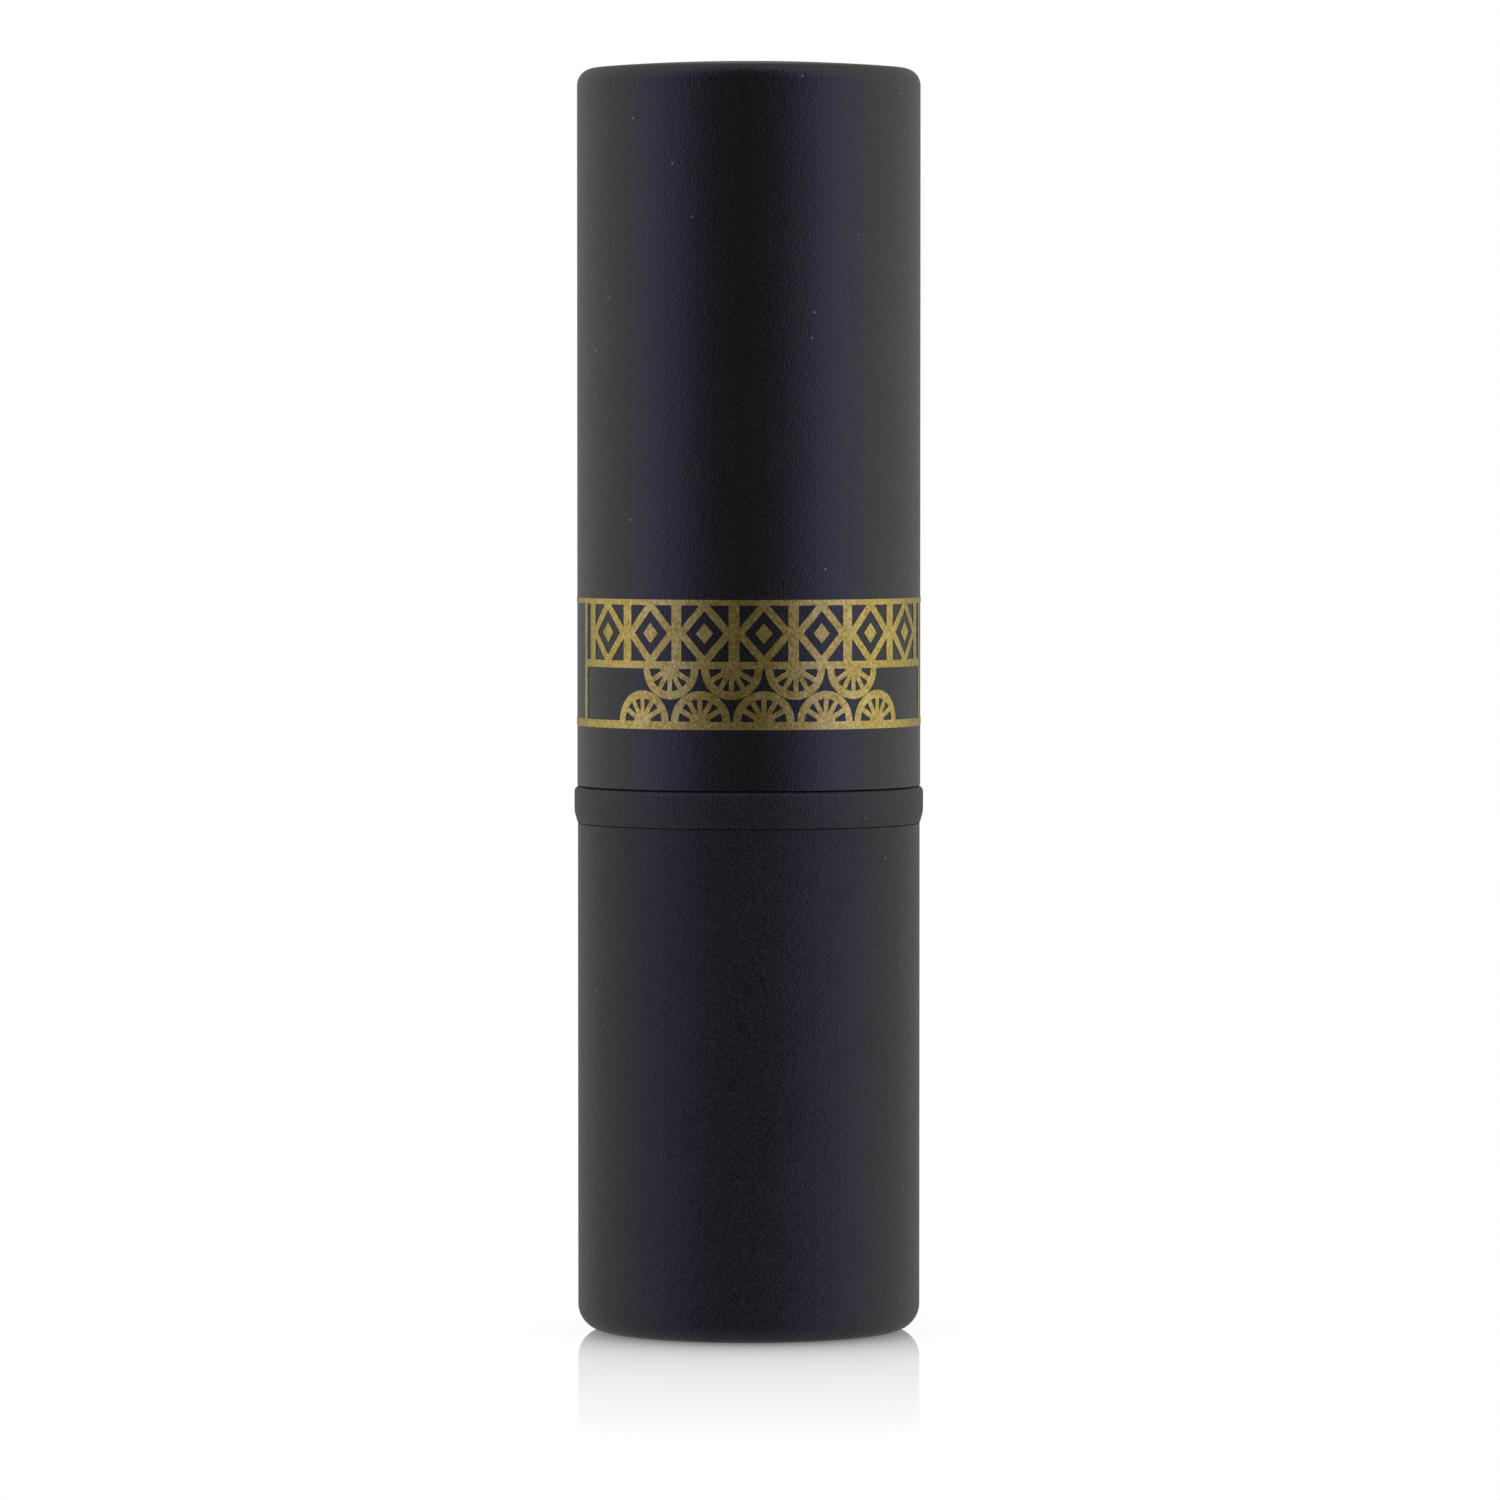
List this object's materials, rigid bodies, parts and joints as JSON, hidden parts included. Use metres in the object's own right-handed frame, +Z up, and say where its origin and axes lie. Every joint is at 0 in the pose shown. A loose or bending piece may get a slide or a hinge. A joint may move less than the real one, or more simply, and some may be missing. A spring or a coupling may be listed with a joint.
{
  "type": "lipstick case",
  "caption": "Round twist-up lipstick case with a pull-off cap, a collar ring, a weighted base and a cup that climbs as the barrel is turned.",
  "frame": {"origin": "centre of the foot, on the surface the case stands on", "axes": "+Z up along the case's axis, from the foot to the top of the cap; +X through one lug of the cup"},
  "size_m": [0.0204, 0.0204, 0.0739],
  "materials": {
    "soft_touch_black": "soft-touch matte lacquer with a faint violet cast",
    "collar_black": "fine matte moulded plastic",
    "liner_black": "semi-gloss moulded plastic",
    "gold_foil": "hot-stamped gold foil, slightly grainy",
    "gold_metal": "polished gold anodising",
    "steel": "plain turned steel",
    "acetal": "natural acetal, satin",
    "silicone": "soft silicone",
    "label_film": "matte printed film",
    "lipstick_wax": "satin wax"
  },
  "bodies": {
    "base": {"base_shell": "soft_touch_black", "base_liner": "liner_black", "base_weight": "steel", "shade_label": "label_film", "guide_tube": "acetal", "brake_ring": "silicone"},
    "barrel": {"barrel_sleeve": "gold_metal", "helical_sleeve": "acetal", "collar_ring": "collar_black"},
    "carrier": {"bullet_cup": "gold_metal", "lipstick_bullet": "lipstick_wax"},
    "cap": {"cap_shell": "soft_touch_black", "cap_liner": "liner_black", "gold_band": "gold_foil"}
  },
  "joints": [
    {"name": "barrel_turn", "type": "hinge", "parent": "base", "child": "barrel", "pos_m": [0, 0, 0.03], "axis": [0, 0, -1], "range_deg": [0, 450]},
    {"name": "carrier_rise", "type": "slide", "parent": "base", "child": "carrier", "axis": [0, 0, 1], "range_m": [0, 0.02]},
    {"name": "cap_pull", "type": "slide", "parent": "barrel", "child": "cap", "axis": [0, 0, 1], "range_m": [0, 0.045]}
  ],
  "couplings": [
    {"joint": "barrel_turn", "follows": "carrier_rise", "rad_per_m": 392.7}
  ]
}
